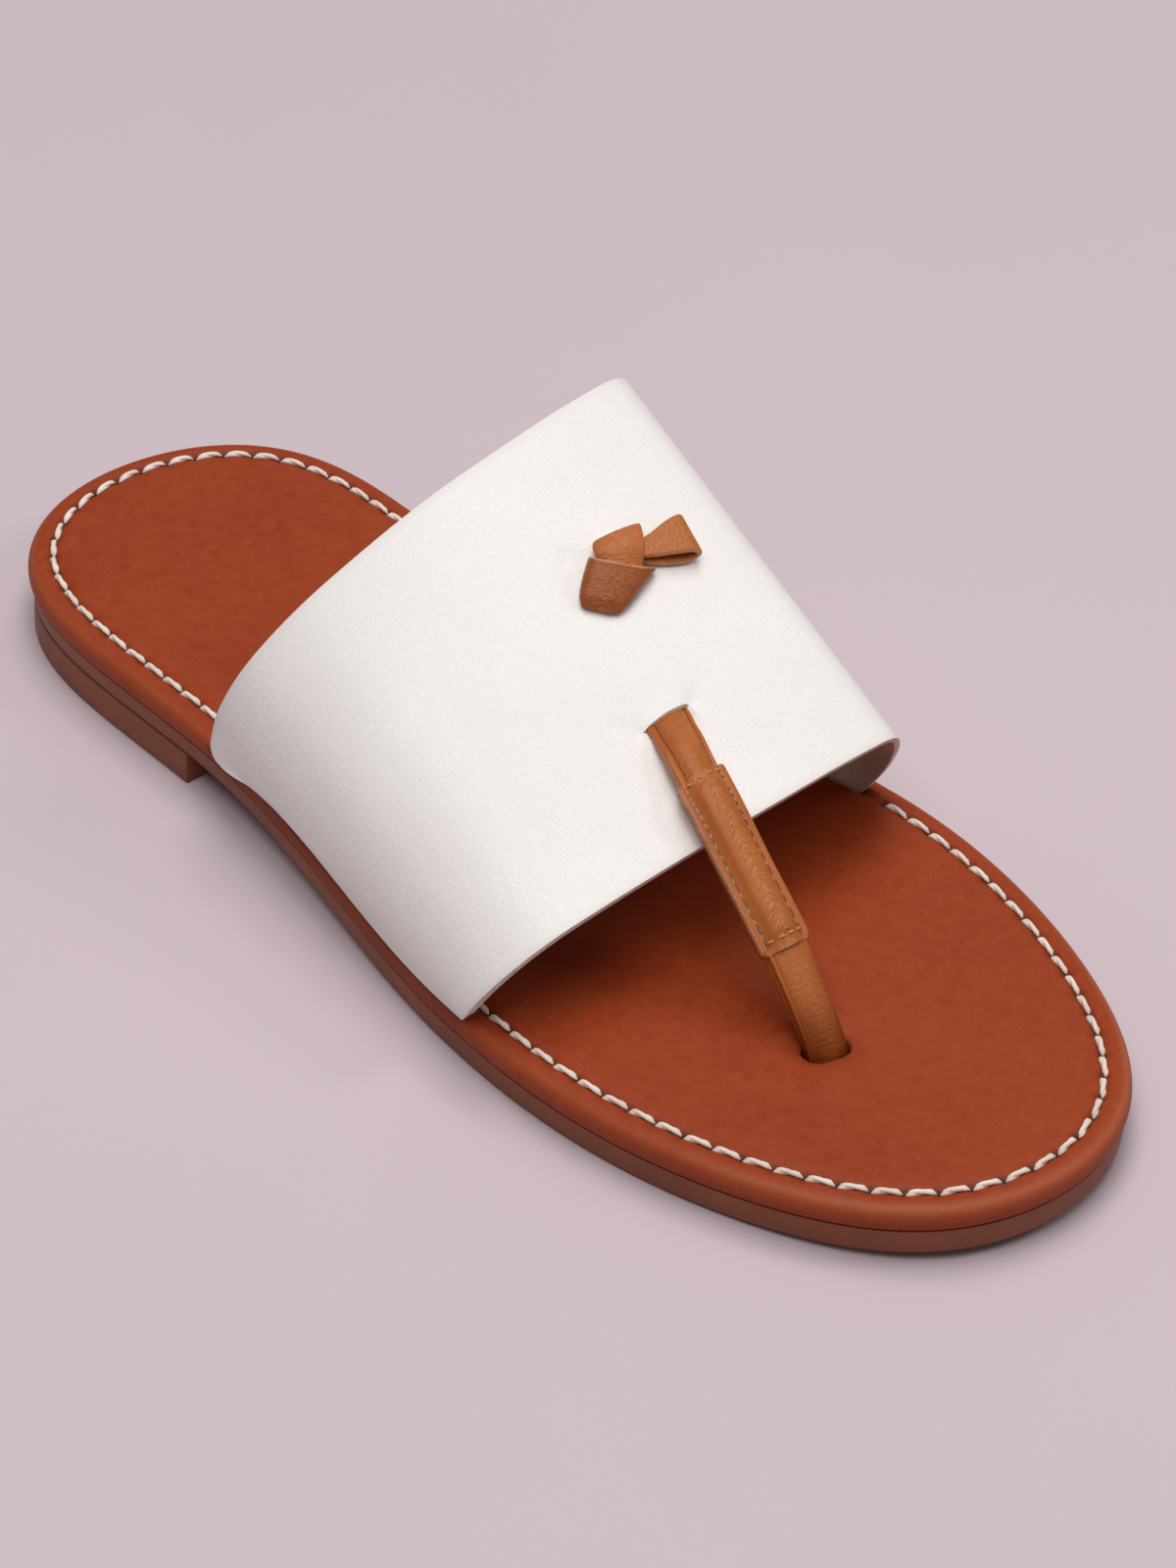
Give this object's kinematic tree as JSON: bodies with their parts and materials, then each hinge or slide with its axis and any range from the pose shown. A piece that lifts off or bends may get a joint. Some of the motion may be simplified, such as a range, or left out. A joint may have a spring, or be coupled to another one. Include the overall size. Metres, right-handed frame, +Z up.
{
  "type": "toe post sandal",
  "caption": "Left flat slip-on sandal with a wide leather instep band, a sleeved toe strap with a tied knot, a stitched rolled-edge footbed and a low heel.",
  "frame": {"origin": "on the floor under the middle of the sandal's box", "axes": "+Z up, toe towards -Y and heel towards +Y, outer side of the foot towards +X"},
  "size_m": [0.0986, 0.252, 0.0666],
  "materials": {
    "sole_rubber": "smooth grey-brown rubber, satin",
    "footbed_leather": "cognac leather, fine grain, soft sheen",
    "band_leather": "off-white fine-grain leather, raw cut edge",
    "strap_leather": "tan leather, wrinkled grain, soft sheen"
  },
  "bodies": {
    "root": {"heel_block": "sole_rubber", "outsole": "sole_rubber", "footbed": "footbed_leather", "upper_band": "band_leather", "toe_strap": "strap_leather", "strap_sleeve": "strap_leather", "knot_fold": "strap_leather", "knot_wrap": "strap_leather", "knot_loop": "strap_leather"}
  },
  "joints": []
}
